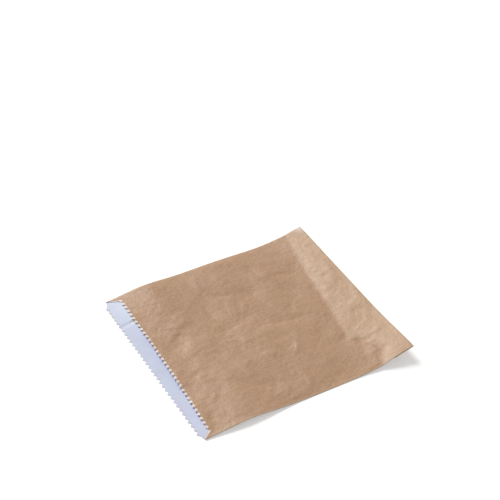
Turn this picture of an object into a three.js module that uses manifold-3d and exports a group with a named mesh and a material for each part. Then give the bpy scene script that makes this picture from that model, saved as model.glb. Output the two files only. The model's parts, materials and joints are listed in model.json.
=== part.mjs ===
// A flat greaseproof paper bag, lying empty on a table with its front panel up.
//
// It is made of two papers: brown machine-glazed kraft outside and white greaseproof inside.
// Each is wrapped into a flat tube and lapped on itself along the middle of the back panel.
// A toothed knife with a step in it cuts the tubes apart, so at the mouth the back panel
// stands out past the front one as a lip, and at the tail the front panel stands out by as
// much. The tail is folded under the back panel and pasted there, which closes the bag.
//
// Millimetres, +Z up. The mouth is towards -X and the closed end towards +X. The origin is
// on the table under the middle of the bag.
//
// The tube is first worked out flat, as a place u along it, a place y across it and a height
// h above the back panel's outer face. Then the tail is bent under, and last the whole bag
// takes the shape in which it lies.

import * as THREE from "three";
import { mergeVertices } from "three/addons/utils/BufferGeometryUtils.js";
import Module from "manifold-3d";

// Papers
const KRAFT_THICKNESS = 0.08;
const LINER_THICKNESS = 0.05;
const PLY_GAP = 0.05;

// The flat bag
const BAG_WIDTH = 200;
const FACE_LENGTH = 200; // front panel, from its mouth edge to the closed end
const LIP_DEPTH = 16; // how far the back panel stands out past the front one
const LIP_TAPER = 6; // how much of the lip the front panel covers at the near corner
const LIP_TAPER_RUN = 140; // over this width, measured from the near side
const FLAP_DEPTH = 32; // the folded tail, from the closed end to the front panel's tail edge
const CREASE_RADIUS = 0.12; // inside radius of the side folds

// The knife
const TOOTH_PITCH = 5.5;
const TOOTH_DEPTH = 2.5;
const CORNER_WIDTH = 6; // the knife has no teeth this near the side folds
const CORNER_STEP = 4; // where it crosses a side fold, behind the tips of the lip
const LINER_LEAD = 1.2; // how far the liner's front teeth stand out past the kraft's
const LINER_SHIFT = 0.5; // share of a pitch between the liner's front teeth and the kraft's

// The seam and the pasted flap
const SEAM_LAP = 13;
const SEAM_RAMP = 3; // the web eases down to its lap over this width
const CUT_EDGE = 0.05; // slant of a cut paper edge
const PASTE = 0.01;
const FLAP_GAP = 0.15; // between the seam and its own tail, face to face
const SETTLE_RUN = 6; // past the back panel's tail the front one settles over this length

// The punched hole that the bag hangs from
const HOLE_DIAMETER = 4;
const HOLE_FROM_MOUTH = 13.8;
const HOLE_FROM_SIDE = 36.5;

// How far the front panel stands off the back one
const MOUTH_PUFF = 1.5;
const BODY_PUFF = 1.8;
const MOUTH_PUFF_RUN = 60;
const CLOSED_PUFF_RUN = 70;
const PUFF_END = 6; // the panels meet this far before the closed end

// How the bag lies: a strip along the seam is flat on the table
const FLAT_STRIP = 20;
const END_CURL = 8.7;
const END_CURL_RUN = 59;
const END_CURL_POWER = 1.8;
const FAR_MOUTH_WAVE = { side: 1, rise: 4.3, place: -66, spread: 30 };
const FAR_MIDDLE_WAVE = { side: 1, rise: 3.1, place: 0, spread: 55 };
const NEAR_WAVE = { side: -1, rise: 4, place: -60, spread: 32 };
const CORNER_LIFT = 3.8;
const CORNER_LIFT_SPREAD = 38;

// How finely the surfaces are divided
const FLANKS_PER_COLUMN = 4;
const BODY_ROWS = 12;
const BEND_ROWS = 4;
const FLAP_ROWS = 3;
const SIDE_FOLD_STEPS = 4;
const EDGE_MARGIN = 3; // from the roots of the teeth to the first row
const ALIGNED_FROM = 22; // from the front panel's mouth edge to the first straight row
const PUNCH_SIDES = 20;
const SAME_POINT_DIGITS = 6; // points that agree to this many digits are one

// Across the bag
const stackThickness = KRAFT_THICKNESS + PLY_GAP + LINER_THICKNESS;
const foldRadius = stackThickness + CREASE_RADIUS;
const panelEdge = BAG_WIDTH / 2 - foldRadius;
const toothedHalf = panelEdge - CORNER_WIDTH;
const toothCount = Math.round((2 * toothedHalf) / TOOTH_PITCH);
const flankWidth = toothedHalf / toothCount;
const seamHalf = SEAM_LAP / 2;
const kraftLap = KRAFT_THICKNESS + PASTE;
const linerLap = LINER_THICKNESS + PASTE;

// Along the bag
const bagLength = FACE_LENGTH + LIP_DEPTH;
const mouthTip = -bagLength / 2;
const closedEnd = bagLength / 2;
const axisDrop = kraftLap + FLAP_GAP / 2; // the bend's axis, below the back panel
const bendStart = closedEnd - axisDrop - 2 * foldRadius;
const bendLength = Math.PI * (axisDrop + foldRadius);
const bendEnd = bendStart + bendLength;
const tailTurned = bendStart - (closedEnd - FLAP_DEPTH); // flap length past the bend
const tubeLength = bendEnd + tailTurned - (mouthTip + LIP_DEPTH);
const backTail = mouthTip + tubeLength;
const alignedRow = mouthTip + LIP_DEPTH + ALIGNED_FROM;
const sideWaves = [FAR_MOUTH_WAVE, FAR_MIDDLE_WAVE, NEAR_WAVE];

function clamp01(value) {
  return Math.min(1, Math.max(0, value));
}

function smooth(value) {
  const t = clamp01(value);
  return t * t * (3 - 2 * t);
}

function mix(from, to, share) {
  return from + (to - from) * share;
}

// Height that a wave along one side of the bag adds.
function waveHeight(wave, x, y) {
  const along = Math.exp(-(((x - wave.place) / wave.spread) ** 2));
  const flatHalf = FLAT_STRIP / 2;
  return wave.rise * along * smooth((wave.side * y - flatHalf) / (BAG_WIDTH / 2 - flatHalf));
}

// Height of the lying bag's back panel above the table.
function lieHeight(x, y) {
  const curl = END_CURL * clamp01((x - closedEnd + END_CURL_RUN) / END_CURL_RUN) ** END_CURL_POWER;
  const cornerDistance = Math.hypot(x - closedEnd, y + BAG_WIDTH / 2);
  const corner = CORNER_LIFT * Math.exp(-((cornerDistance / CORNER_LIFT_SPREAD) ** 2));
  return sideWaves.reduce((height, wave) => height + waveHeight(wave, x, y), curl + corner);
}

// How far the front panel stands off, over its height at the side folds.
function puffHeight(u, y) {
  const opening = mix(MOUTH_PUFF, BODY_PUFF, smooth((u - mouthTip - LIP_DEPTH) / MOUTH_PUFF_RUN));
  const closing = smooth((closedEnd - PUFF_END - u) / CLOSED_PUFF_RUN);
  return opening * closing * Math.max(0, 1 - (y / panelEdge) ** 2);
}

// How far the front panel's tail settles towards the back panel, past the back panel's tail.
function settleDepth(u) {
  const depth = 2 * foldRadius - stackThickness + kraftLap;
  return depth * smooth((u - backTail - CORNER_STEP) / SETTLE_RUN);
}

// Turns what lies past the bend's start under the back panel.
function foldTail(u, h) {
  if (u <= bendStart) {
    return { x: u, z: h };
  }
  if (u >= bendEnd) {
    return { x: bendStart - (u - bendEnd), z: -h - 2 * axisDrop };
  }
  const angle = ((u - bendStart) / bendLength) * Math.PI;
  const radius = h + axisDrop;
  return { x: bendStart + radius * Math.sin(angle), z: radius * Math.cos(angle) - axisDrop };
}

// Share of the lap's full step at y: it eases in over the ramp and ends at a cut edge.
function lapShare(y, edge) {
  const eased = clamp01((y + seamHalf + SEAM_RAMP) / (SEAM_RAMP - CUT_EDGE));
  return eased * (1 - clamp01((y - edge + CUT_EDGE) / CUT_EDGE));
}

// The kraft laps towards the table and the liner towards the inside of the bag.
const kraft = {
  name: "kraft_outer",
  outerDepth: 0,
  innerDepth: KRAFT_THICKNESS,
  outerLap: (y) => -kraftLap * lapShare(y, seamHalf + CUT_EDGE),
  innerLap: (y) => -kraftLap * lapShare(y, -seamHalf),
  lead: 0,
  shift: 0,
  finish: { color: 0xb8957a, roughness: 0.55, metalness: 0 },
};
const liner = {
  name: "greaseproof_liner",
  outerDepth: KRAFT_THICKNESS + PLY_GAP,
  innerDepth: stackThickness,
  outerLap: (y) => linerLap * lapShare(-y, -seamHalf),
  innerLap: (y) => linerLap * lapShare(-y, seamHalf + CUT_EDGE),
  lead: LINER_LEAD,
  shift: LINER_SHIFT,
  finish: { color: 0xe6ebf5, roughness: 0.4, metalness: 0 },
};

// A station is a place around the tube, and its turn is how far round from the near side of
// the back panel it lies.
function backStation(y) {
  return { panel: "back", y, turn: y + panelEdge };
}

function frontStation(y) {
  return { panel: "front", y, turn: 3 * panelEdge + Math.PI * foldRadius - y };
}

function foldStations(side) {
  const start = side > 0 ? 2 * panelEdge : 4 * panelEdge + Math.PI * foldRadius;
  const stations = [];
  for (let step = 1; step < SIDE_FOLD_STEPS; step += 1) {
    const round = (Math.PI * step) / SIDE_FOLD_STEPS;
    const angle = side * (round - Math.PI / 2);
    stations.push({ panel: "fold", side, angle, turn: start + foldRadius * round });
  }
  return stations;
}

const wholeTurn = 4 * panelEdge + 2 * Math.PI * foldRadius;

function ring(frontLines, backLines) {
  return [
    ...backLines.map(backStation),
    ...foldStations(1),
    ...[...frontLines].reverse().map(frontStation),
    ...foldStations(-1),
  ];
}

// The lines that run along the panels: one through each tip and each root of the teeth, and
// of those only some carry on down the bag.
const flankLines = Array.from({ length: 2 * toothCount + 1 }, (_, i) => i * flankWidth - toothedHalf);

function everyFlankLine(stride, first) {
  return flankLines.filter((_, i) => i % stride === first || i === 0 || i === 2 * toothCount);
}

const columnLines = everyFlankLine(FLANKS_PER_COLUMN, 0);
const seamReach = seamHalf + SEAM_RAMP;
const seamLines = [-seamReach, -seamHalf - CUT_EDGE, -seamHalf, seamHalf, seamHalf + CUT_EDGE, seamReach];

function panelLines(lines) {
  return [-panelEdge, ...lines, panelEdge];
}

function withSeam(lines) {
  return panelLines([...lines, ...seamLines].sort((a, b) => a - b));
}

// The ring through a ply's roots at the mouth, and through its tips, where the tail's notches end.
function innerRing(ply, notch) {
  const backLines = everyFlankLine(2, 1 - notch);
  const frontLines = ply.shift === 0 ? backLines : everyFlankLine(2, notch);
  return ring(panelLines(frontLines), withSeam(backLines));
}

const toothedRing = ring(panelLines(flankLines), withSeam(flankLines));
const plainRing = ring(
  panelLines(columnLines),
  withSeam(columnLines.filter((y) => Math.abs(y) > seamReach)),
);

// Place of a station on one face of a ply, on the flat tube.
function sectionPoint(station, u, depth, lap) {
  if (station.panel === "back") {
    return { y: station.y, h: depth + lap(station.y) };
  }
  if (station.panel === "front") {
    const h = 2 * foldRadius - depth + puffHeight(u, station.y) - settleDepth(u);
    return { y: station.y, h };
  }
  const radius = foldRadius - depth;
  return {
    y: station.side * (panelEdge + radius * Math.cos(station.angle)),
    h: foldRadius + radius * Math.sin(station.angle),
  };
}

function bagPoint(station, u, depth, lap) {
  const { y, h } = sectionPoint(station, u, depth, lap);
  const { x, z } = foldTail(u, h);
  return [x, y, z + kraftLap + lieHeight(x, y)];
}

// How far the knife cuts behind the tips of the lip. The notch is 0 at the tips of its teeth
// and 1 at their roots, and the lead is how far it cuts this ply's front panel longer.
function knifeSetback(station, notch, lead) {
  if (station.panel === "fold") {
    return CORNER_STEP;
  }
  const corner = clamp01((Math.abs(station.y) - toothedHalf) / CORNER_WIDTH);
  const front = station.panel === "front";
  const taper = LIP_TAPER * clamp01((LIP_TAPER_RUN - BAG_WIDTH / 2 - station.y) / LIP_TAPER_RUN) ** 1.5;
  const straight = front ? LIP_DEPTH - taper - lead : 0;
  return mix(straight + TOOTH_DEPTH * notch, CORNER_STEP, corner);
}

function toothNotch(station, ply) {
  const shift = station.panel === "front" ? ply.shift : 0;
  const along = clamp01(((station.y ?? 0) + toothedHalf) / (2 * toothedHalf)) * toothCount + shift;
  return Math.abs(2 * (along - Math.floor(along)) - 1);
}

// The knife's own line, and the straight line that its tips or its roots lie on.
function toothedLine(start, ply) {
  return (station) => start + knifeSetback(station, toothNotch(station, ply), ply.lead);
}

function straightLine(start, notch, lead) {
  return (station) => start + knifeSetback(station, notch, lead);
}

const firstRow = straightLine(mouthTip + EDGE_MARGIN, 1, 0);
const lastRow = straightLine(backTail - EDGE_MARGIN, 0, liner.lead);

// The rows of a ply from its mouth to its tail. Both plies share all but the cut edges, so
// the liner's facets follow the kraft's.
function plyRows(ply) {
  const rows = [{ ring: toothedRing, at: toothedLine(mouthTip, ply) }];
  rows.push({ ring: innerRing(ply, 1), at: straightLine(mouthTip, 1, ply.lead) });
  rows.push({ ring: plainRing, at: firstRow });
  rows.push({ ring: plainRing, at: (station) => mix(firstRow(station), alignedRow, 0.5) });
  for (let row = 0; row <= BODY_ROWS; row += 1) {
    rows.push({ ring: plainRing, at: () => mix(alignedRow, bendStart, row / BODY_ROWS) });
  }
  for (let row = 1; row <= BEND_ROWS; row += 1) {
    rows.push({ ring: plainRing, at: () => mix(bendStart, bendEnd, row / BEND_ROWS) });
  }
  for (let row = 1; row <= FLAP_ROWS; row += 1) {
    rows.push({ ring: plainRing, at: (station) => mix(bendEnd, lastRow(station), row / FLAP_ROWS) });
  }
  rows.push({ ring: innerRing(ply, 0), at: straightLine(backTail, 0, ply.lead) });
  rows.push({ ring: toothedRing, at: toothedLine(backTail, ply) });
  return rows;
}

// Triangles between two closed rings of points, which may differ in number. The ring whose
// next stretch has its middle first goes on, and a triangle with a point twice is left out.
function stitch(first, second) {
  const triangles = [];
  const turnAt = (row, i) => (i < row.length ? row[i].turn : wholeTurn);
  const middle = (row, i) => (i < row.length ? turnAt(row, i) + turnAt(row, i + 1) : Infinity);
  let a = 0;
  let b = 0;
  while (a < first.length || b < second.length) {
    const onFirst = first[a % first.length].index;
    const onSecond = second[b % second.length].index;
    const firstGoesOn = middle(first, a) <= middle(second, b);
    if (firstGoesOn) {
      a += 1;
    } else {
      b += 1;
    }
    const next = firstGoesOn ? first[a % first.length].index : second[b % second.length].index;
    if (new Set([onFirst, next, onSecond]).size === 3) {
      triangles.push(onFirst, next, onSecond);
    }
  }
  return triangles;
}

// One ply as a closed mesh: its outer face, its inner face and its two cut edges.
function plyMesh(ply) {
  const positions = [];
  const indices = new Map();
  const layRing = (row, depth, lap) =>
    row.ring.map((station) => {
      const point = bagPoint(station, row.at(station), depth, lap);
      const key = point.map((value) => value.toFixed(SAME_POINT_DIGITS)).join();
      if (!indices.has(key)) {
        indices.set(key, indices.size);
        positions.push(...point);
      }
      return { index: indices.get(key), turn: station.turn };
    });
  const rows = plyRows(ply);
  const outer = rows.map((row) => layRing(row, ply.outerDepth, ply.outerLap));
  const inner = rows.map((row) => layRing(row, ply.innerDepth, ply.innerLap));
  const triangles = [...stitch(inner[0], outer[0]), ...stitch(outer.at(-1), inner.at(-1))];
  for (let row = 0; row + 1 < rows.length; row += 1) {
    triangles.push(...stitch(outer[row], outer[row + 1]));
    triangles.push(...stitch(inner[row], inner[row + 1]).reverse());
  }
  return { positions: new Float32Array(positions), triangles: new Uint32Array(triangles) };
}

const wasm = await Module();
wasm.setup();

function solidOf(positions, triangles) {
  return new wasm.Manifold(new wasm.Mesh({ numProp: 3, vertProperties: positions, triVerts: triangles }));
}

// The punch goes down through both papers of the lip.
function holePunch() {
  const height = 4 * BODY_PUFF + 4 * sideWaves.reduce((rise, wave) => rise + wave.rise, 0);
  const cylinder = new THREE.CylinderGeometry(HOLE_DIAMETER / 2, HOLE_DIAMETER / 2, height, PUNCH_SIDES);
  cylinder.rotateX(Math.PI / 2);
  cylinder.translate(mouthTip + HOLE_FROM_MOUTH, BAG_WIDTH / 2 - HOLE_FROM_SIDE, 0);
  cylinder.deleteAttribute("normal");
  cylinder.deleteAttribute("uv");
  const merged = mergeVertices(cylinder);
  return solidOf(merged.attributes.position.array, new Uint32Array(merged.index.array));
}

const punch = holePunch();

function buildPly(ply) {
  const sheet = plyMesh(ply);
  const cut = solidOf(sheet.positions, sheet.triangles).subtract(punch).getMesh();
  const geometry = new THREE.BufferGeometry();
  geometry.setAttribute("position", new THREE.BufferAttribute(cut.vertProperties, 3));
  geometry.setIndex(new THREE.BufferAttribute(cut.triVerts, 1));
  geometry.computeVertexNormals();
  const mesh = new THREE.Mesh(geometry, new THREE.MeshStandardMaterial(ply.finish));
  mesh.name = ply.name;
  return mesh;
}

const group = new THREE.Group();
group.add(buildPly(kraft), buildPly(liner));

export default group;
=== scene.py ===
"""A flat greaseproof paper bag, dressed in its real papers.

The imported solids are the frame. Each of the bag's two papers is made here once more as one
closed, finely divided sheet, with the creases and cockle of handled paper and with its cut
teeth, and is finished as the real paper is: machine-glazed brown kraft outside and cool white
greaseproof inside.

Sizes are millimetres until a mesh or a studio object is made. +X runs from the mouth to the
closed end, +Y to the far side of the view, +Z up through the front panel. A place u along the
tube, a place y across it and a height h above the back panel's outer face give a point of the
flat tube, whose tail is then bent under before the whole takes the shape in which it lies.
"""

from __future__ import annotations

import json
import logging
import math
from collections.abc import Sequence
from dataclasses import dataclass, field
from enum import IntEnum
from typing import Any

import bpy
import numpy as np
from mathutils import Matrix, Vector

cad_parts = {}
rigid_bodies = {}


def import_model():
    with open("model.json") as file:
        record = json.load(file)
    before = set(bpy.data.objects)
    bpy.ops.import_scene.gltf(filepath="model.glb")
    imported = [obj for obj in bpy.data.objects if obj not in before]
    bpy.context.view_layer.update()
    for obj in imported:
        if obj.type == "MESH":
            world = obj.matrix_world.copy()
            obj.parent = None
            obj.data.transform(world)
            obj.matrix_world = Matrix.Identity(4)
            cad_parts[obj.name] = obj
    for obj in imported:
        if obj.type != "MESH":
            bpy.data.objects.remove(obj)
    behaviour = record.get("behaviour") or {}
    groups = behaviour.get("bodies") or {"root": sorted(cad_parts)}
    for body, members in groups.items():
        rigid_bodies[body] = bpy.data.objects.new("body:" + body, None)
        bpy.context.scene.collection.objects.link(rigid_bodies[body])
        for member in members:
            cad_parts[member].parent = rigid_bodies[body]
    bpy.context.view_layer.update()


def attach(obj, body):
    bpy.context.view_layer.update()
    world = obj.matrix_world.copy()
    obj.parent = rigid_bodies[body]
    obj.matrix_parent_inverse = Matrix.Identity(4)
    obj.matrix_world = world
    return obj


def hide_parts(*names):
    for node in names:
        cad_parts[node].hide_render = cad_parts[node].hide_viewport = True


MM = 0.001
BODY = "root"
PURE_WHITE = (1.0, 1.0, 1.0, 1.0)
NOISE_ROUGHNESS = 0.55
NOISE_MIDDLE = (0.3, 0.7)
# A share times the square of what is left is 4/27 at its highest, and this brings it to 1.
CREST_SCALE = 6.75

log = logging.getLogger("paper_bag")

Field = np.ndarray


def clamp01(value: Field) -> Field:
    """Values held between 0 and 1."""
    return np.clip(value, 0.0, 1.0)


def smooth(value: Field) -> Field:
    """Eases from 0 to 1 with level ends: 3 t squared less 2 t cubed."""
    t = clamp01(value)
    return t * t * (3.0 - 2.0 * t)


def mix(start: Field, end: Field, share: Field) -> Field:
    """Straight blend from start, at share 0, to end, at share 1."""
    return start + (end - start) * share


def linear_colour(hex_code: str) -> tuple[float, float, float, float]:
    """Turns an sRGB hex value into the linear colour that a shader takes.

    Args:
        hex_code: Six hex digits, with or without a leading hash.

    Returns:
        Red, green and blue in linear light, and an alpha of 1.
    """
    digits = hex_code.lstrip("#")
    shares = [int(digits[i : i + 2], 16) / 255 for i in (0, 2, 4)]
    linear = [c / 12.92 if c <= 0.04045 else ((c + 0.055) / 1.055) ** 2.4 for c in shares]
    return (linear[0], linear[1], linear[2], 1.0)


class Panel(IntEnum):
    """Where on the flat tube a station lies."""

    BACK = 0
    FRONT = 1
    FOLD = 2


@dataclass(frozen=True)
class Stations:
    """The places around the tube at which every row has a point.

    One turn runs along the back panel to the far side fold, over it, back along the front
    panel and over the near side fold.
    """

    panel: Field
    y: Field
    side: Field
    angle: Field

    def on(self, panel: Panel) -> Field:
        """True at the stations of one panel."""
        return self.panel == panel

    def __len__(self) -> int:
        """Number of stations in one turn."""
        return len(self.y)


@dataclass(frozen=True)
class BagSizes:
    """Driving dimensions of the bag, in millimetres, and what follows from them."""

    kraft_thickness: float = 0.08
    liner_thickness: float = 0.05
    ply_gap: float = 0.05
    width: float = 200.0
    face_length: float = 200.0
    lip_depth: float = 16.0
    lip_taper: float = 6.0
    lip_taper_run: float = 140.0
    lip_taper_power: float = 1.5
    flap_depth: float = 32.0
    crease_radius: float = 0.12
    tooth_pitch: float = 5.5
    tooth_depth: float = 2.5
    corner_width: float = 6.0
    corner_step: float = 4.0
    liner_lead: float = 1.2
    liner_shift: float = 0.5
    seam_lap: float = 13.0
    seam_ramp: float = 3.0
    cut_edge: float = 0.05
    paste: float = 0.01
    flap_gap: float = 0.15
    settle_run: float = 6.0
    hole_diameter: float = 4.0
    hole_from_mouth: float = 13.8
    hole_from_side: float = 36.5

    @property
    def wall(self) -> float:
        """Both papers and the gap between them."""
        return self.kraft_thickness + self.ply_gap + self.liner_thickness

    @property
    def fold_radius(self) -> float:
        """Outer radius of a side fold."""
        return self.wall + self.crease_radius

    @property
    def panel_edge(self) -> float:
        """Where a panel ends and its side fold begins."""
        return self.width / 2 - self.fold_radius

    @property
    def toothed_half(self) -> float:
        """Half the width that the knife cuts into teeth."""
        return self.panel_edge - self.corner_width

    @property
    def tooth_count(self) -> int:
        """Whole teeth across the knife."""
        return round(2 * self.toothed_half / self.tooth_pitch)

    @property
    def seam_half(self) -> float:
        """Half the lap of the lengthwise seam."""
        return self.seam_lap / 2

    @property
    def kraft_lap(self) -> float:
        """Step of the kraft where it laps on itself."""
        return self.kraft_thickness + self.paste

    @property
    def liner_lap(self) -> float:
        """Step of the liner where it laps on itself."""
        return self.liner_thickness + self.paste

    @property
    def mouth_tip(self) -> float:
        """Where the lip's teeth end."""
        return -(self.face_length + self.lip_depth) / 2

    @property
    def closed_end(self) -> float:
        """Where the tail is folded under."""
        return (self.face_length + self.lip_depth) / 2

    @property
    def front_tip(self) -> float:
        """Where the front panel's kraft teeth end on the far side."""
        return self.mouth_tip + self.lip_depth

    @property
    def axis_drop(self) -> float:
        """Depth of the tail bend's axis below the back panel."""
        return self.kraft_lap + self.flap_gap / 2

    @property
    def bend_start(self) -> float:
        """Where the tail starts to bend under."""
        return self.closed_end - self.axis_drop - 2 * self.fold_radius

    @property
    def bend_length(self) -> float:
        """Length of tube that the bend takes."""
        return math.pi * (self.axis_drop + self.fold_radius)

    @property
    def bend_end(self) -> float:
        """Where the bend has gone half a turn."""
        return self.bend_start + self.bend_length

    @property
    def back_tail(self) -> float:
        """Where the back panel's tail is cut."""
        turned_end = self.bend_end + self.bend_start - self.closed_end
        return turned_end + self.flap_depth - self.lip_depth


@dataclass(frozen=True)
class SideWave:
    """A long rise along one side of the bag."""

    side: int
    rise: float
    place: float
    spread: float


@dataclass(frozen=True)
class Lie:
    """How the empty bag lies: flat along its seam, with its sides and closed end lifted."""

    flat_strip: float = 20.0
    end_curl: float = 8.7
    end_curl_run: float = 59.0
    end_curl_power: float = 1.8
    corner_lift: float = 3.8
    corner_lift_spread: float = 38.0
    mouth_puff: float = 1.5
    body_puff: float = 1.8
    mouth_puff_run: float = 60.0
    closed_puff_run: float = 70.0
    puff_end: float = 6.0
    waves: tuple[SideWave, ...] = (
        SideWave(side=1, rise=4.3, place=-66.0, spread=30.0),
        SideWave(side=1, rise=3.1, place=0.0, spread=55.0),
        SideWave(side=-1, rise=4.0, place=-60.0, spread=32.0),
    )

    def height(self, sizes: BagSizes, x: Field, y: Field) -> Field:
        """Height of the back panel above the table.

        A power curve lifts the closed end, a bell lifts its near corner, and each wave is a
        bell along the bag that eases in from the flat strip to its own side.

        Args:
            sizes: The bag's dimensions.
            x: Places along the bag.
            y: Places across it.

        Returns:
            The height at each place.
        """
        run = clamp01((x - sizes.closed_end + self.end_curl_run) / self.end_curl_run)
        curl = self.end_curl * run**self.end_curl_power
        from_corner = np.hypot(x - sizes.closed_end, y + sizes.width / 2)
        total = curl + self.corner_lift * np.exp(-((from_corner / self.corner_lift_spread) ** 2))
        flat_half = self.flat_strip / 2
        for wave in self.waves:
            along = np.exp(-(((x - wave.place) / wave.spread) ** 2))
            across = smooth((wave.side * y - flat_half) / (sizes.width / 2 - flat_half))
            total = total + wave.rise * along * across
        return total

    def puff(self, sizes: BagSizes, u: Field, y: Field) -> Field:
        """How far the front panel stands off the back one.

        It grows from the mouth into the body, closes towards the closed end, and is a
        parabola across the bag.

        Args:
            sizes: The bag's dimensions.
            u: Places along the tube.
            y: Places across it.

        Returns:
            The standing height over the side folds.
        """
        growing = smooth((u - sizes.front_tip) / self.mouth_puff_run)
        closing = smooth((sizes.closed_end - self.puff_end - u) / self.closed_puff_run)
        across = np.maximum(0.0, 1.0 - (y / sizes.panel_edge) ** 2)
        return mix(self.mouth_puff, self.body_puff, growing) * closing * across


@dataclass(frozen=True)
class Crease:
    """One crease of the front panel, a soft valley or, where its depth is negative, a ridge."""

    start: tuple[float, float]
    end: tuple[float, float]
    depth: float
    width: float
    bow: float = 0.0
    rounding: float = 0.35

    def relief(self, x: Field, y: Field) -> Field:
        """Height that the crease adds.

        Across the crease its depth dies away as e to the minus distance over width, with the
        bottom rounded, and along it the depth eases in and out over a quarter of its length.

        Args:
            x: Places along the bag.
            y: Places across it.

        Returns:
            The height at each place, below zero in a valley.
        """
        bottom = self.rounding * self.width
        run_x = self.end[0] - self.start[0]
        run_y = self.end[1] - self.start[1]
        length = math.hypot(run_x, run_y)
        along = ((x - self.start[0]) * run_x + (y - self.start[1]) * run_y) / length**2
        across = ((y - self.start[1]) * run_x - (x - self.start[0]) * run_y) / length
        bowed = across - self.bow * 4 * along * (1 - along)
        ends = smooth(along * 4) * smooth((1 - along) * 4)
        fall = np.exp(-(np.hypot(bowed, bottom) - bottom) / self.width)
        return -self.depth * ends * fall


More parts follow.
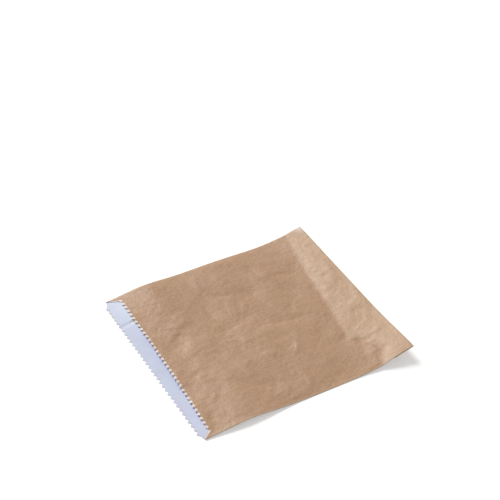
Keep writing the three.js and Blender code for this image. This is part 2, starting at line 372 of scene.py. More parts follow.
@dataclass(frozen=True)
class Handling:
    """The papers' creases, cockle and uneven teeth from packing and handling, their paler side
    folds and whitish far corner, and a painted sheen over the tail.
    """

    band_depth: float = 1.1
    band_crest: float = 0.8
    band_mouth_run: float = 11.0
    band_line_y: tuple[float, ...] = (-104, -92, -82, -66, -54, -25, 12, 35, 60, 104)
    band_line_x: tuple[float, ...] = (74, 79, 87, 79, 67.5, 71.5, 77.5, 80, 84, 93)
    band_far_fade: tuple[float, float] = (20.0, 100.0)
    band_softening: float = 0.55
    band_of_height: float = 0.6
    band_of_puff: float = 0.5
    # Painted sheen: how much paler the tail is coloured, in place of the light that the band
    # catches.
    tail_sheen_paleness: float = 0.36
    tail_ease: tuple[float, float] = (5.0, 17.0)
    tail_ease_lead: float = 6.0
    creases: tuple[Crease, ...] = (
        Crease((-4, 5), (58, -8), depth=0.68, width=3.6, bow=-3),
        Crease((-78, -36), (-14, -84), depth=0.63, width=3.2, bow=3),
        Crease((2, -32), (34, -72), depth=0.52, width=3.2),
        Crease((46, 60), (92, 22), depth=0.75, width=3.2, bow=5),
        Crease((-92, 78), (-62, 34), depth=0.51, width=2.6, bow=-2),
        Crease((-88, 44), (-56, 27), depth=0.42, width=2.4),
        Crease((-50, -22), (-18, -48), depth=0.33, width=4.8),
        Crease((-34, 66), (44, 40), depth=0.60, width=5.6, bow=-3),
        Crease((84, 99), (108, 85), depth=0.8, width=1.6),
        Crease((70, -48), (96, -88), depth=0.5, width=3),
        Crease((20, 84), (84, 66), depth=-0.45, width=4.8),
    )
    lip_crease: Crease = Crease((-91, 63.3), (-109, 61.6), depth=0.45, width=0.9)
    small_creases: int = 150
    small_length: tuple[float, float] = (12.0, 44.0)
    small_depth: float = 0.62
    small_width: tuple[float, float] = (1.8, 5.0)
    small_bow: float = 0.15
    cockle_waves: int = 36
    cockle_length: tuple[float, float] = (14.0, 60.0)
    cockle_height: float = 0.06
    edge_fade: float = 6.0
    white_corner_reach: float = 6.0
    fold_pale_reach: float = 1.5
    least_room: float = 0.06
    tooth_unevenness: float = 0.22
    tooth_curl: float = 0.35
    tooth_curl_run: float = 5.0
    seed: int = 11

    def band_relief(self, sizes: BagSizes, x: Field, y: Field) -> Field:
        """The valley where the panels leave the stiff, pasted tail, and the crest behind it.

        Its line crosses the bag at a slant. Towards the mouth the depth dies away as e to the
        minus distance over a run. Towards the closed end the valley fades as the square of
        the share of the way that is left, and a crest of share times that square, which is
        highest after a third of the way, is added. So the paper is steepest right at the line.
        All of it softens towards the far corner.

        Args:
            sizes: The bag's dimensions.
            x: Places along the bag.
            y: Places across it.

        Returns:
            The height that they add.
        """
        line = np.interp(y, self.band_line_y, self.band_line_x)
        past = x - line
        before = np.exp(np.minimum(past, 0.0) / self.band_mouth_run)
        share = clamp01(past / np.maximum(sizes.closed_end - line, 1.0))
        left = (1.0 - share) ** 2
        after = CREST_SCALE * self.band_crest * share * left - self.band_depth * left
        relief = np.where(past < 0.0, -self.band_depth * before, after)
        return relief * (1.0 - self.band_softening * self.far_fade(y))

    def far_fade(self, y: Field) -> Field:
        """How soft the band is, from 0 in the bag's middle to 1 at its far corner."""
        start, end = self.band_far_fade
        return smooth((y - start) / (end - start))

    def tail_sheen_share(self, x: Field, y: Field) -> Field:
        """Painted sheen: how much paler the paper is coloured over the stiff, pasted tail, in
        place of the light that the band before it catches.

        Args:
            x: Places along the bag.
            y: Places across it.

        Returns:
            Shares that ease in from the band's line, over a longer way at the far corner.
        """
        line = np.interp(y, self.band_line_y, self.band_line_x)
        fade = self.far_fade(y)
        near, far = self.tail_ease
        ease = near + (far - near) * fade
        return self.tail_sheen_paleness * smooth((x - line + self.tail_ease_lead * fade) / ease)

    def small_relief(self, sizes: BagSizes, x: Field, y: Field) -> Field:
        """Many short creases and the slow cockle of the sheet.

        The creases have seeded places, lengths and signs. The cockle is a sum of plane sine
        waves of seeded length, direction and phase, higher for the longer ones.

        Args:
            sizes: The bag's dimensions.
            x: Places along the bag.
            y: Places across it.

        Returns:
            The height that both add.
        """
        random = np.random.default_rng(self.seed)
        total = np.zeros_like(x)
        for _ in range(self.small_creases):
            centre_x = random.uniform(sizes.front_tip, sizes.closed_end)
            centre_y = random.uniform(-sizes.width / 2, sizes.width / 2)
            heading = random.uniform(0.0, math.pi)
            half = random.uniform(*self.small_length) / 2
            reach_x = half * math.cos(heading)
            reach_y = half * math.sin(heading)
            crease = Crease(
                start=(centre_x - reach_x, centre_y - reach_y),
                end=(centre_x + reach_x, centre_y + reach_y),
                depth=self.small_depth * random.uniform(-1.0, 1.0),
                width=random.uniform(*self.small_width),
                bow=random.uniform(-self.small_bow, self.small_bow) * half,
            )
            total += crease.relief(x, y)
        for _ in range(self.cockle_waves):
            length = random.uniform(*self.cockle_length)
            heading = random.uniform(0.0, math.pi)
            phase = random.uniform(0.0, 2 * math.pi)
            distance = x * math.cos(heading) + y * math.sin(heading)
            share = length / self.cockle_length[1]
            total += self.cockle_height * share * np.sin(2 * math.pi * distance / length + phase)
        return total

    def front_relief(self, sizes: BagSizes, x: Field, y: Field) -> Field:
        """Relief of the front panel, which fades out at the side folds and the closed end.

        Args:
            sizes: The bag's dimensions.
            x: Places along the bag.
            y: Places across it.

        Returns:
            The height that the creases and the cockle add.
        """
        total = self.small_relief(sizes, x, y)
        for crease in self.creases:
            total += crease.relief(x, y)
        at_sides = smooth((sizes.panel_edge - np.abs(y)) / self.edge_fade)
        at_end = smooth((sizes.bend_start - x) / self.edge_fade)
        return total * at_sides * at_end

    def tooth_values(self, sizes: BagSizes, y: Field, spread: float, salt: int) -> Field:
        """One seeded value for each tooth, read at each place across the bag.

        Args:
            sizes: The bag's dimensions.
            y: Places across the bag.
            spread: Largest value, either way.
            salt: Tells one set of values from another.

        Returns:
            The value of the tooth at each place.
        """
        random = np.random.default_rng(self.seed + salt)
        values = random.uniform(-spread, spread, sizes.tooth_count)
        along = clamp01((y + sizes.toothed_half) / (2 * sizes.toothed_half)) * sizes.tooth_count
        return values[np.minimum(along.astype(int), sizes.tooth_count - 1)]


@dataclass(frozen=True)
class Ply:
    """One paper of the bag: where it lies in the tube's wall and how it laps on itself.

    The kraft laps towards the table. The liner laps towards the inside, on the other hand.
    """

    name: str
    node: str
    slot: str
    outer_depth: float
    thickness: float
    lap_step: float
    lap_hand: int
    outer_lap_edge: float
    inner_lap_edge: float
    lead: float
    shift: float


@dataclass(frozen=True)
class Divisions:
    """How finely a ply is divided."""

    halves_of_a_flank: int = 2
    corner_steps: int = 5
    fold_steps: int = 8
    root_rows: int = 4
    mouth_rows: int = 15
    body_rows: int = 88
    bend_rows: int = 10
    flap_rows: int = 15
    aligned_from: float = 22.0
    edge_margin: float = 3.0


@dataclass
class PaperBag:
    """The flat bag: both of its papers, from the same folded and handled tube."""

    sizes: BagSizes = field(default_factory=BagSizes)
    lie: Lie = field(default_factory=Lie)
    handling: Handling = field(default_factory=Handling)
    divisions: Divisions = field(default_factory=Divisions)
    sharp_angle: float = 40.0
    punch_sides: int = 32
    punch_reach: float = 22.0

    def kraft(self) -> Ply:
        """The brown outer paper."""
        s = self.sizes
        return Ply(
            name="brown_kraft_paper",
            node="kraft_outer",
            slot="kraft_paper",
            outer_depth=0.0,
            thickness=s.kraft_thickness,
            lap_step=-s.kraft_lap,
            lap_hand=1,
            outer_lap_edge=s.seam_half + s.cut_edge,
            inner_lap_edge=-s.seam_half,
            lead=0.0,
            shift=0.0,
        )

    def liner(self) -> Ply:
        """The white inner paper."""
        s = self.sizes
        return Ply(
            name="white_greaseproof_paper",
            node="greaseproof_liner",
            slot="greaseproof_paper",
            outer_depth=s.kraft_thickness + s.ply_gap,
            thickness=s.liner_thickness,
            lap_step=s.liner_lap,
            lap_hand=-1,
            outer_lap_edge=-s.seam_half,
            inner_lap_edge=s.seam_half + s.cut_edge,
            lead=s.liner_lead,
            shift=s.liner_shift,
        )

    def stations(self) -> Stations:
        """Places around the tube: half flanks of the teeth, plain corners, seam and folds.

        Returns:
            The stations of one turn.
        """
        s = self.sizes
        d = self.divisions
        flanks = 2 * s.tooth_count * d.halves_of_a_flank
        toothed = np.linspace(-s.toothed_half, s.toothed_half, flanks + 1)
        corner = np.linspace(s.toothed_half, s.panel_edge, d.corner_steps + 1)[1:]
        front = np.concatenate([-corner[::-1], toothed, corner])
        ramp_edge = s.seam_half + s.seam_ramp
        seam = np.array([s.seam_half, s.seam_half + s.cut_edge, ramp_edge])
        back = np.sort(np.concatenate([front, seam, -seam]))
        turn = np.linspace(-math.pi / 2, math.pi / 2, d.fold_steps + 1)[1:-1]
        edge = np.full(len(turn), s.panel_edge)
        far = np.ones(len(turn))
        front = front[::-1]
        runs = (
            (Panel.BACK, back, np.sign(back), np.zeros(len(back))),
            (Panel.FOLD, edge, far, turn),
            (Panel.FRONT, front, np.sign(front), np.zeros(len(front))),
            (Panel.FOLD, -edge, -far, turn[::-1]),
        )
        return Stations(
            panel=np.concatenate([np.full(len(y), panel) for panel, y, _, _ in runs]),
            y=np.concatenate([y for _, y, _, _ in runs]),
            side=np.concatenate([side for _, _, side, _ in runs]),
            angle=np.concatenate([angle for _, _, _, angle in runs]),
        )

    def tooth_notch(self, stations: Stations, shift: float) -> Field:
        """The knife's zigzag: 0 at the tips of the teeth and 1 at their roots.

        Args:
            stations: Places around the tube.
            shift: Share of a pitch by which this ply's front panel slid to one side.

        Returns:
            The notch at each place.
        """
        s = self.sizes
        along = clamp01((stations.y + s.toothed_half) / (2 * s.toothed_half)) * s.tooth_count
        along = along + shift * stations.on(Panel.FRONT)
        return np.abs(2.0 * (along - np.floor(along)) - 1.0)

    def knife_setback(self, stations: Stations, notch: Field, lead: float) -> Field:
        """How far the knife cuts behind the tips of the lip.

        The front panel is cut shorter by the depth of the lip, less a taper towards the near
        corner and less the lead of this ply, and near the side folds the knife runs over to
        its plain step.

        Args:
            stations: Places around the tube.
            notch: 0 at the tips of the teeth and 1 at their roots.
            lead: How much longer this ply's front panel is cut.

        Returns:
            The setback at each station.
        """
        s = self.sizes
        y = stations.y
        corner = clamp01((np.abs(y) - s.toothed_half) / s.corner_width)
        near = clamp01((s.lip_taper_run - s.width / 2 - y) / s.lip_taper_run)
        front = s.lip_depth - s.lip_taper * near**s.lip_taper_power - lead
        straight = np.where(stations.on(Panel.FRONT), front, 0.0)
        uneven = self.handling.tooth_values(s, y, self.handling.tooth_unevenness, salt=1)
        toothed = straight + s.tooth_depth * notch + uneven * (1.0 - notch)
        return mix(toothed, s.corner_step, corner)

    def rows(self, stations: Stations, ply: Ply) -> Field:
        """The rows of a ply, from its toothed mouth to its toothed tail.

        Args:
            stations: Places around the tube.
            ply: The paper to divide.

        Returns:
            Place u along the tube, one line for each row and one column for each station.
        """
        s = self.sizes
        d = self.divisions
        notch = self.tooth_notch(stations, ply.shift)
        cut = self.knife_setback(stations, notch, ply.lead)
        mouth_cut = s.mouth_tip + cut
        tail_cut = s.back_tail + cut
        roots = self.knife_setback(stations, np.ones_like(notch), 0.0)
        first = s.mouth_tip + d.edge_margin + roots
        tips = self.knife_setback(stations, np.zeros_like(notch), s.liner_lead)
        last = s.back_tail - d.edge_margin + tips
        aligned = np.full(len(stations), s.front_tip + d.aligned_from)
        bend_start = np.full(len(stations), s.bend_start)
        bend_end = np.full(len(stations), s.bend_end)
        stretches = [
            (mouth_cut, first, d.root_rows),
            (first, aligned, d.mouth_rows),
            (aligned, bend_start, d.body_rows),
            (bend_start, bend_end, d.bend_rows),
            (bend_end, last, d.flap_rows),
            (last, tail_cut, d.root_rows),
        ]
        lines = [mouth_cut[None, :]]
        for start, end, count in stretches:
            shares = np.linspace(0.0, 1.0, count + 1)[1:, None]
            lines.append(mix(start[None, :], end[None, :], shares))
        return np.concatenate(lines)

    def lap_share(self, y: Field, edge: float) -> Field:
        """Share of the lap's step at y: it eases in over the ramp and ends at a cut edge."""
        s = self.sizes
        eased = clamp01((y + s.seam_half + s.seam_ramp) / (s.seam_ramp - s.cut_edge))
        return eased * (1.0 - clamp01((y - edge + s.cut_edge) / s.cut_edge))

    def tooth_lift(self, u: Field, stations: Stations) -> Field:
        """How far the teeth of the front panel's mouth edge curl up or down.

        Each tooth has its own curl, which grows as the square of the way from the roots to
        the tips.

        Args:
            u: Places along the tube.
            stations: Places around the tube.

        Returns:
            The height that the curl adds.
        """
        h = self.handling
        s = self.sizes
        notch = self.tooth_notch(stations, s.liner_shift)
        tips = s.mouth_tip + self.knife_setback(stations, 0.0 * notch, s.liner_lead)
        reach = clamp01((tips[None, :] + h.tooth_curl_run - u) / h.tooth_curl_run)
        curl = h.tooth_values(s, stations.y, h.tooth_curl, salt=2) * (1.0 - notch)
        return curl[None, :] * reach**2

    def settle(self, u: Field) -> Field:
        """How far the front panel's tail settles, past the back panel's tail."""
        s = self.sizes
        depth = 2 * s.fold_radius - s.wall + s.kraft_lap
        return depth * smooth((u - s.back_tail - s.corner_step) / s.settle_run)

    def front_height(self, u: Field, stations: Stations) -> Field:
        """Height of the front panel's outer face on the flat tube.

        The relief never takes more than the room between the panels.

        Args:
            u: Places along the tube.
            stations: Places around the tube.

        Returns:
            The height at each row and station.
        """
        s = self.sizes
        y = np.broadcast_to(stations.y, u.shape)
        puff = self.lie.puff(s, u, y)
        room = 2 * (s.fold_radius - s.wall) + puff - s.liner_lap - self.handling.least_room
        before_bend = u < s.bend_start
        relief = np.where(before_bend, self.handling.front_relief(s, u, y), 0.0)
        lift = self.tooth_lift(u, stations)
        return 2 * s.fold_radius + puff - self.settle(u) + np.maximum(relief + lift, -room)

    def fold_tail(self, u: Field, h: Field) -> tuple[Field, Field]:
        """Bends what lies past the bend's start under the back panel.

        On the bend, a point turns about the axis on a radius of its height over the axis,
        through half a turn, and beyond it the tube runs back towards the mouth, upside down.

        Args:
            u: Places along the tube.
            h: Heights above the back panel's outer face.

        Returns:
            x along the bag and height over the back panel's outer face.
        """
        s = self.sizes
        turn = clamp01((u - s.bend_start) / s.bend_length) * math.pi
        radius = h + s.axis_drop
        before = np.minimum(u, s.bend_start)
        after = np.maximum(u - s.bend_end, 0.0)
        x = before + radius * np.sin(turn) - after
        return x, radius * np.cos(turn) - s.axis_drop

    def face(self, u: Field, stations: Stations, depth: float, lap: Field) -> Field:
        """One face of a ply as points in space.

        Args:
            u: Places along the tube, for each row and station.
            stations: Places around the tube.
            depth: How deep the face lies under the tube's outer face.
            lap: Step of the seam at each station.

        Returns:
            An array of rows by stations by three, in millimetres.
        """
        s = self.sizes
        radius = s.fold_radius - depth
        fold_y = stations.side * (s.panel_edge + radius * np.cos(stations.angle))
        fold_h = s.fold_radius + radius * np.sin(stations.angle)
        on_fold = stations.on(Panel.FOLD)
        y = np.broadcast_to(np.where(on_fold, fold_y, stations.y), u.shape)
        front = self.front_height(u, stations) - depth
        h = np.where(stations.on(Panel.FRONT), front, np.where(on_fold, fold_h, depth + lap))
        x, z = self.fold_tail(u, h)
        return np.stack([x, y, z + s.kraft_lap + self.rest_height(x, y, u, stations)], axis=-1)

    def rest_height(self, x: Field, y: Field, u: Field, stations: Stations) -> Field:
        """Height of the lying bag, with the band before its stiff tail and the lip's crease.

        The band's valley takes the whole bag down, but never more than a share of its height
        over the table. What is left of it is taken from the front panel, within its room.

        Args:
            x: Places along the bag.
            y: Places across it.
            u: Places along the tube.
            stations: Places around the tube.

        Returns:
            The height at each place.
        """
        s = self.sizes
        lying = self.lie.height(s, x, y)
        h = self.handling
        band = h.band_relief(s, x, y)
        common = np.maximum(band, -h.band_of_height * lying)
        on_top = stations.on(Panel.FRONT) & (u < s.bend_start)
        at_sides = smooth((s.panel_edge - np.abs(y)) / h.edge_fade)
        room = h.band_of_puff * self.lie.puff(s, u, y)
        extra = np.where(on_top, np.maximum(band - common, -room) * at_sides, 0.0)
        on_lip = stations.on(Panel.BACK) & (u < s.front_tip)
        lip = np.where(on_lip, h.lip_crease.relief(x, y), 0.0)
        return lying + common + extra + lip

    def sheet_mesh(self, ply: Ply) -> bpy.types.Mesh:
        """One ply as a closed mesh: its outer face, its inner face and its two cut edges.

        The two faces are grids that share their rows and stations, laid end to end so that
        the grid closes on itself both round the tube and from face to face.

        Args:
            ply: The paper to make.

        Returns:
            The mesh, in metres, with attributes that say how pale each point is at the side
            folds, how much paler it is painted over the tail as sheen and how whitish it is at
            the far closed corner, and whether it is outside.
        """
        s = self.sizes
        stations = self.stations()
        u = self.rows(stations, ply)
        hand_y = ply.lap_hand * stations.y
        outer_lap = ply.lap_step * self.lap_share(hand_y, ply.outer_lap_edge)
        inner_lap = ply.lap_step * self.lap_share(hand_y, ply.inner_lap_edge)
        outer = self.face(u, stations, ply.outer_depth, outer_lap)
        inner = self.face(u, stations, ply.outer_depth + ply.thickness, inner_lap)
        points = np.concatenate([outer, inner[::-1]])
        rings, around = points.shape[:2]
        index = np.arange(rings * around).reshape(rings, around)
        next_ring = np.roll(index, -1, axis=0)
        corners = [index, np.roll(index, -1, axis=1), np.roll(next_ring, -1, axis=1), next_ring]
        quads = np.stack(corners, axis=-1).reshape(-1, 4)
        mesh = bpy.data.meshes.new(ply.name)
        mesh.from_pydata((points.reshape(-1, 3) * MM).tolist(), [], quads.tolist())
        x = points[..., 0]
        y = points[..., 1]
        from_fold = np.abs(s.panel_edge - np.abs(stations.y))
        fold = np.exp(-from_fold / self.handling.fold_pale_reach)
        from_corner = np.hypot(x - s.closed_end, y - s.width / 2)
        white_corner = np.exp(-((from_corner / self.handling.white_corner_reach) ** 2))
        # Painted sheen: paleness over the tail that stands in for the light the band catches.
        tail = self.handling.tail_sheen_share(x, y)
        shares = {
            "fold": np.tile(fold, rings),
            "white_corner": white_corner.ravel(),
            "tail": tail.ravel(),
            "outside": np.repeat(np.arange(rings) < len(u), around),
        }
        for name, values in shares.items():
            attribute = mesh.attributes.new(name, "FLOAT", "POINT")
            attribute.data.foreach_set("value", values.astype(np.float32))
        return mesh

    def hole_cutter(self) -> bpy.types.Object:
        """A plain cylinder where the hang hole is punched, which goes once it has cut."""
        s = self.sizes
        turns = np.linspace(0.0, 2 * math.pi, self.punch_sides, endpoint=False)
        radius = s.hole_diameter / 2
        x = s.mouth_tip + s.hole_from_mouth + radius * np.cos(turns)
        y = s.width / 2 - s.hole_from_side + radius * np.sin(turns)
        ends = (-self.punch_reach, self.punch_reach)
        rings = [np.stack([x, y, np.full_like(x, z)], axis=-1) for z in ends]
        n = self.punch_sides
        walls = [(i, (i + 1) % n, n + (i + 1) % n, n + i) for i in range(n)]
        caps = [tuple(reversed(range(n))), tuple(range(n, 2 * n))]
        mesh = bpy.data.meshes.new("hole_cutter")
        mesh.from_pydata((np.concatenate(rings) * MM).tolist(), [], walls + caps)
        cutter = bpy.data.objects.new("hole_cutter", mesh)
        bpy.context.scene.collection.objects.link(cutter)
        return cutter

    def punch(self, piece: bpy.types.Object) -> None:
        """Punches the hang hole through the lip of one ply and keeps the cut mesh.

        Args:
            piece: The ply's object.
        """
        cutter = self.hole_cutter()
        modifier = piece.modifiers.new("hang_hole", "BOOLEAN")
        modifier.operation = "DIFFERENCE"
        modifier.solver = "EXACT"
        modifier.object = cutter
        whole = piece.data
        evaluated = piece.evaluated_get(bpy.context.evaluated_depsgraph_get())
        piece.data = bpy.data.meshes.new_from_object(evaluated)
        piece.modifiers.clear()
        bpy.data.meshes.remove(whole)
        bpy.data.objects.remove(cutter)

    def make(self, ply: Ply, material: bpy.types.Material) -> None:
        """Makes one paper of the bag and seats it on its body.

        Args:
            ply: The paper to make.
            material: Its finish.
        """
        piece = bpy.data.objects.new(ply.name, self.sheet_mesh(ply))
        bpy.context.scene.collection.objects.link(piece)
        self.punch(piece)
        piece.data.name = ply.name
        piece.data.materials.clear()
        piece.data.materials.append(material)
        piece.data.polygons.foreach_set("use_smooth", np.ones(len(piece.data.polygons), bool))
        piece.data.set_sharp_from_angle(angle=math.radians(self.sharp_angle))
        piece.data.update()
        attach(piece, BODY)
        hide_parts(ply.node)
        triangles = sum(len(polygon.vertices) - 2 for polygon in piece.data.polygons)
        log.info("%s: %d triangles", piece.name, triangles)


def add_node(
    tree: bpy.types.NodeTree,
    kind: str,
    inputs: dict[str | int, Any] | None = None,
    **settings: Any,
) -> bpy.types.Node:
    """Adds a node with its settings, its values and its links.

    Args:
        tree: The node tree.
        kind: The node's type name.
        inputs: For each input socket, by name or number, a value or a socket to link from.
        settings: Properties of the node itself.

    Returns:
        The new node.
    """
    node = tree.nodes.new(kind)
    for name, value in settings.items():
        setattr(node, name, value)
    for key, value in (inputs or {}).items():
        if isinstance(value, bpy.types.NodeSocket):
            tree.links.new(value, node.inputs[key])
        else:
            node.inputs[key].default_value = value
    return node


def new_material(name: str) -> tuple[bpy.types.Material, bpy.types.NodeTree]:
    """A material with an empty node tree."""
    material = bpy.data.materials.new(name)
    material.use_nodes = True
    material.node_tree.nodes.clear()
    return material, material.node_tree


def paper_noise(
    tree: bpy.types.NodeTree, along: float, across: float, detail: float
) -> bpy.types.NodeSocket:
    """Noise whose features have a given size along and across the web of paper.

    Args:
        tree: The node tree.
        along: Feature size from the mouth to the closed end, in millimetres.
        across: Feature size across the bag and through it, in millimetres.
        detail: Octaves of finer noise.

    Returns:
        The noise's value, from 0 to 1.
    """
    places = add_node(tree, "ShaderNodeTexCoord").outputs["Object"]
    scale = (1 / (along * MM), 1 / (across * MM), 1 / (across * MM))
    mapped = add_node(tree, "ShaderNodeMapping", {"Vector": places, "Scale": scale})
    noise = add_node(
        tree,
        "ShaderNodeTexNoise",
        {
            "Vector": mapped.outputs["Vector"],
            "Scale": 1.0,
            "Detail": detail,
            "Roughness": NOISE_ROUGHNESS,
        },
    )
    return noise.outputs["Fac"]


def spread_of(
    tree: bpy.types.NodeTree, value: bpy.types.NodeSocket, ends: tuple[float, float]
) -> bpy.types.NodeSocket:
    """Maps the middle range of a noise onto the range between two ends."""
    inputs = {
        "Value": value,
        "From Min": NOISE_MIDDLE[0],
        "From Max": NOISE_MIDDLE[1],
        "To Min": ends[0],
        "To Max": ends[1],
    }
    return add_node(tree, "ShaderNodeMapRange", inputs).outputs["Result"]


def layered_colours(
    tree: bpy.types.NodeTree, ground: str, layers: Sequence[tuple[Any, str]]
) -> bpy.types.NodeSocket:
    """Lays colours over a ground, one after another.

    Args:
        tree: The node tree.
        ground: The lowest colour, as a hex value.
        layers: For each layer, from the lowest up, its share and its colour.

    Returns:
        The colour on top.
    """
    under: Any = linear_colour(ground)
    for share, colour in layers:
        inputs = {0: share, 6: under, 7: linear_colour(colour)}
        under = add_node(tree, "ShaderNodeMix", inputs, data_type="RGBA").outputs[2]
    return under


def layered_bumps(
    tree: bpy.types.NodeTree, layers: Sequence[tuple[bpy.types.NodeSocket, float, float]]
) -> bpy.types.NodeSocket:
    """Lays fine reliefs over one another.

    Args:
        tree: The node tree.
        layers: For each one, its height, its depth in millimetres and its strength.

    Returns:
        The normal of them all.
    """
    inputs: dict[str | int, Any] = {}
    for height, depth, strength in layers:
        inputs = inputs | {"Height": height, "Distance": depth * MM, "Strength": strength}
        inputs = {"Normal": add_node(tree, "ShaderNodeBump", inputs).outputs["Normal"]}
    return inputs["Normal"]


@dataclass(frozen=True)
class MachineGlazedKraft:
    """Brown machine-glazed kraft, dried against a polished cylinder.

    The glazing gives its outer face a soft sheen over long brown fibres. Formation, the
    cloudy look of where the fibres lie thick or thin, shows through it, with faint streaks
    along the web and dark flecks. The side folds are paler and the far closed corner is
    whitish. Over the tail a paler brown is painted as sheen, where the band catches the light.
    Sizes are millimetres.
    """

    brown: str = "#BA9477"
    dark_brown: str = "#AC8669"
    pale_brown: str = "#D0AA8A"
    golden_brown: str = "#BC9468"
    shive: str = "#A07C60"
    fold_pale: str = "#D4B79C"
    # Painted sheen: a paler brown laid over the tail in place of the light the band catches.
    tail_sheen_brown: str = "#CCAC8A"
    corner_white: str = "#E8DAD6"
    cloud_share: tuple[float, float] = (0.25, 0.75)
    brown_share: float = 0.45
    golden_share: tuple[float, float] = (0.0, 0.4)
    fibre_share: tuple[float, float] = (0.0, 0.28)
    fleck_share: tuple[float, float] = (-0.1, 0.75)
    streak_share: tuple[float, float] = (0.0, 0.22)
    fold_pale_share: tuple[float, float] = (0.25, 0.75)
    roughness: tuple[float, float] = (0.42, 0.52)
    specular: float = 0.45
    tint_size: float = 34.0
    cloud_size: float = 5.0
    # Real fibres are 0.03 mm wide, too fine to show, so they are drawn as coarse bundles.
    fibre_length: float = 3.2
    fibre_width: float = 0.9
    streak_length: float = 38.0
    streak_width: float = 2.4
    fleck_size: float = 1.5
    crumple_size: float = 11.0
    crumple_depth: float = 0.85
    cloud_depth: float = 0.1
    cloud_bump: float = 0.6
    fibre_depth: float = 0.02
    fibre_bump: float = 0.4

    def material(self) -> bpy.types.Material:
        """Builds the finish.

        Returns:
            The material.
        """
        material, tree = new_material("machine_glazed_kraft")
        clouds = paper_noise(tree, self.cloud_size, self.cloud_size, detail=3.0)
        fibres = paper_noise(tree, self.fibre_length, self.fibre_width, detail=2.0)
        streaks = paper_noise(tree, self.streak_length, self.streak_width, detail=2.0)
        tints = paper_noise(tree, self.tint_size, self.tint_size, detail=1.0)
        flecks = paper_noise(tree, self.fleck_size, self.fleck_size, detail=1.0)
        fold, tail, white_corner = (
            add_node(tree, "ShaderNodeAttribute", attribute_name=name).outputs["Fac"]
            for name in ("fold", "tail", "white_corner")
        )
        uneven = {0: fold, 1: spread_of(tree, fibres, self.fold_pale_share)}
        fold_pale = add_node(tree, "ShaderNodeMath", uneven, operation="MULTIPLY")
        layers = (
            (spread_of(tree, clouds, self.cloud_share), self.pale_brown),
            (self.brown_share, self.brown),
            (spread_of(tree, tints, self.golden_share), self.golden_brown),
            (spread_of(tree, fibres, self.fibre_share), self.dark_brown),
            (spread_of(tree, flecks, self.fleck_share), self.shive),
            (spread_of(tree, streaks, self.streak_share), self.pale_brown),
            (fold_pale.outputs[0], self.fold_pale),
            # Painted sheen over the tail.
            (tail, self.tail_sheen_brown),
            (white_corner, self.corner_white),
        )
        reliefs = (
            (self.crumple(tree), self.crumple_depth, 1.0),
            (clouds, self.cloud_depth, self.cloud_bump),
            (fibres, self.fibre_depth, self.fibre_bump),
        )
        inputs = {
            "Base Color": layered_colours(tree, self.dark_brown, layers),
            "Roughness": spread_of(tree, clouds, self.roughness),
            "Specular IOR Level": self.specular,
            "Normal": layered_bumps(tree, reliefs),
        }
        shader = add_node(tree, "ShaderNodeBsdfPrincipled", inputs)
        add_node(tree, "ShaderNodeOutputMaterial", {"Surface": shader.outputs["BSDF"]})
        return material

    def crumple(self, tree: bpy.types.NodeTree) -> bpy.types.NodeSocket:
        """Fine crumpling as sharp little valleys: the distance of a noise from its middle."""
        noise = paper_noise(tree, self.crumple_size, self.crumple_size, detail=2.5)
        centred = add_node(tree, "ShaderNodeMath", {0: noise, 1: 0.5}, operation="SUBTRACT")
        distance = {0: centred.outputs[0]}
        return add_node(tree, "ShaderNodeMath", distance, operation="ABSOLUTE").outputs[0]


@dataclass(frozen=True)
class GreaseproofPaper:
    """White greaseproof paper, beaten until it is dense and nearly without pores.

    It is smooth and slightly glassy, cool white on its inner face with a faint cloudiness,
    and creamier on the face that lies against the kraft. Sizes are millimetres.
    """

    cool_white: str = "#CFDBF3"
    lavender_white: str = "#CED2EE"
    cloudy_white: str = "#C9D2EA"
    warm_white: str = "#F0E4E2"
    tint_share: tuple[float, float] = (0.0, 1.0)
    cloud_share: tuple[float, float] = (0.4, 0.0)
    tint_size: float = 22.0
    cloud_size: float = 4.0
    cloud_depth: float = 0.04
    cloud_bump: float = 0.25
    roughness: float = 0.4
    specular: float = 0.4

    def material(self) -> bpy.types.Material:
        """Builds the finish.

        Returns:
            The material.
        """
        material, tree = new_material("greaseproof_paper")
        clouds = paper_noise(tree, self.cloud_size, self.cloud_size, detail=3.0)
        tints = paper_noise(tree, self.tint_size, self.tint_size, detail=1.0)
        outside = add_node(tree, "ShaderNodeAttribute", attribute_name="outside")
        layers = (
            (spread_of(tree, tints, self.tint_share), self.cool_white),
            (spread_of(tree, clouds, self.cloud_share), self.cloudy_white),
            (outside.outputs["Fac"], self.warm_white),
        )
        inputs = {
            "Base Color": layered_colours(tree, self.lavender_white, layers),
            "Roughness": self.roughness,
            "Specular IOR Level": self.specular,
            "Normal": layered_bumps(tree, [(clouds, self.cloud_depth, self.cloud_bump)]),
        }
        shader = add_node(tree, "ShaderNodeBsdfPrincipled", inputs)
        add_node(tree, "ShaderNodeOutputMaterial", {"Surface": shader.outputs["BSDF"]})
        return material


@dataclass(frozen=True)
class WhiteTable:
    """A plain white studio table that shows white to the camera and keeps soft shadows."""

    white: str = "#F2F2F2"
    camera_lift: float = 0.4

    def material(self) -> bpy.types.Material:
        """Builds the finish.

        Returns:
            The material, with a little light of its own that only the camera, reflections and
            see-through surfaces meet.
        """
        material, tree = new_material("white_table")
        matt = add_node(tree, "ShaderNodeBsdfDiffuse", {"Color": linear_colour(self.white)})
        strength = seen_directly(tree, self.camera_lift)
        lift = add_node(tree, "ShaderNodeEmission", {"Color": PURE_WHITE, "Strength": strength})
        surfaces = {0: matt.outputs["BSDF"], 1: lift.outputs["Emission"]}
        both = add_node(tree, "ShaderNodeAddShader", surfaces)
        add_node(tree, "ShaderNodeOutputMaterial", {"Surface": both.outputs["Shader"]})
        return material


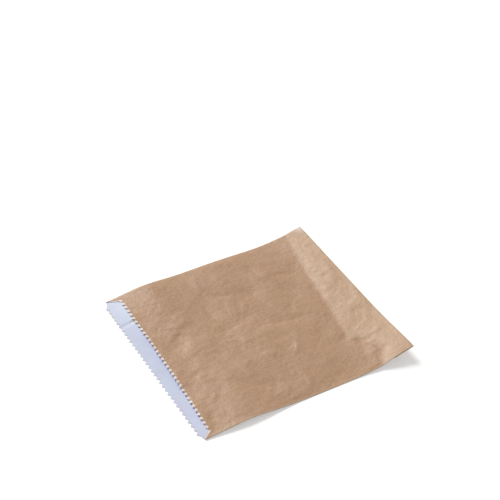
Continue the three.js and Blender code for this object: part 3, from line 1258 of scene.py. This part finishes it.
def seen_directly(
    tree: bpy.types.NodeTree, strength: float, elsewhere: float = 0.0
) -> bpy.types.NodeSocket:
    """A strength for rays from the camera, in reflections and through glass, and another else.

    Args:
        tree: The node tree.
        strength: The value for those rays.
        elsewhere: The value for all others.

    Returns:
        The value that the ray gets.
    """
    rays = add_node(tree, "ShaderNodeLightPath").outputs
    first = {0: rays["Is Camera Ray"], 1: rays["Is Glossy Ray"]}
    either = add_node(tree, "ShaderNodeMath", first, operation="MAXIMUM")
    second = {0: either.outputs[0], 1: rays["Is Transmission Ray"]}
    seen = add_node(tree, "ShaderNodeMath", second, operation="MAXIMUM")
    ends = {"Value": seen.outputs[0], "To Min": elsewhere, "To Max": strength}
    return add_node(tree, "ShaderNodeMapRange", ends).outputs["Result"]


@dataclass
class Studio:
    """The plain table, the soft light and the camera at the photograph's viewing angle."""

    camera_place: tuple[float, float, float] = (-505.9, -894.9, 958.3)
    camera_yaw: float = 29.25
    camera_pitch: float = 39.99
    lens: float = 109.66
    sensor: float = 36.0
    clip: tuple[float, float] = (10.0, 100000.0)
    table_side: float = 12000.0
    table_gap: float = 0.02
    key_heading: float = 96.0
    key_elevation: float = 42.0
    key_distance: float = 9000.0
    key_size: float = 4000.0
    key_power: float = 690.0
    key_colour: tuple[float, float, float] = (1.0, 0.975, 0.925)
    sky_strength: float = 0.30
    white: float = 1.0

    def camera(self) -> None:
        """Places the camera: turned by its yaw to the right of +Y and pitched down."""
        data = bpy.data.cameras.new("camera")
        data.lens = self.lens
        data.sensor_width = self.sensor
        data.clip_start = self.clip[0] * MM
        data.clip_end = self.clip[1] * MM
        camera = bpy.data.objects.new("camera", data)
        camera.location = Vector(self.camera_place) * MM
        tilt = math.radians(90 - self.camera_pitch)
        camera.rotation_euler = (tilt, 0.0, math.radians(-self.camera_yaw))
        bpy.context.scene.collection.objects.link(camera)
        bpy.context.scene.camera = camera

    def key_light(self) -> None:
        """A slightly warm soft box high behind the bag, aimed at its middle."""
        data = bpy.data.lights.new("soft_box", "AREA")
        data.shape = "SQUARE"
        data.size = self.key_size * MM
        data.energy = self.key_power
        data.color = self.key_colour
        light = bpy.data.objects.new("soft_box", data)
        heading = math.radians(self.key_heading)
        rise = math.radians(self.key_elevation)
        level = math.cos(rise)
        towards = Vector((math.cos(heading) * level, math.sin(heading) * level, math.sin(rise)))
        light.location = towards * self.key_distance * MM
        light.rotation_euler = towards.to_track_quat("Z", "Y").to_euler()
        bpy.context.scene.collection.objects.link(light)

    def sky(self) -> None:
        """White light from all round, which shows as plain white behind everything."""
        world = bpy.data.worlds.new("studio")
        world.use_nodes = True
        tree = world.node_tree
        tree.nodes.clear()
        strength = seen_directly(tree, self.white, self.sky_strength)
        light = {"Color": PURE_WHITE, "Strength": strength}
        background = add_node(tree, "ShaderNodeBackground", light)
        add_node(tree, "ShaderNodeOutputWorld", {"Surface": background.outputs["Background"]})
        bpy.context.scene.world = world

    def table(self) -> None:
        """The white table, just under the bag."""
        half = self.table_side / 2 * MM
        drop = -self.table_gap * MM
        plan = ((-half, -half), (half, -half), (half, half), (-half, half))
        mesh = bpy.data.meshes.new("table")
        mesh.from_pydata([(x, y, drop) for x, y in plan], [], [(0, 1, 2, 3)])
        table = bpy.data.objects.new("table", mesh)
        mesh.materials.append(WhiteTable().material())
        bpy.context.scene.collection.objects.link(table)

    def build(self) -> None:
        """Makes the whole studio."""
        self.camera()
        self.key_light()
        self.sky()
        self.table()
        bpy.context.scene.view_settings.view_transform = "Standard"


def main() -> None:
    """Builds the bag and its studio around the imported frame."""
    logging.basicConfig(level=logging.INFO, format="%(name)s: %(message)s")
    for left_over in list(bpy.data.objects):
        bpy.data.objects.remove(left_over)
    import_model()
    Studio().build()
    bag = PaperBag()
    bag.make(bag.kraft(), MachineGlazedKraft().material())
    bag.make(bag.liner(), GreaseproofPaper().material())


if __name__ == "__main__":
    main()
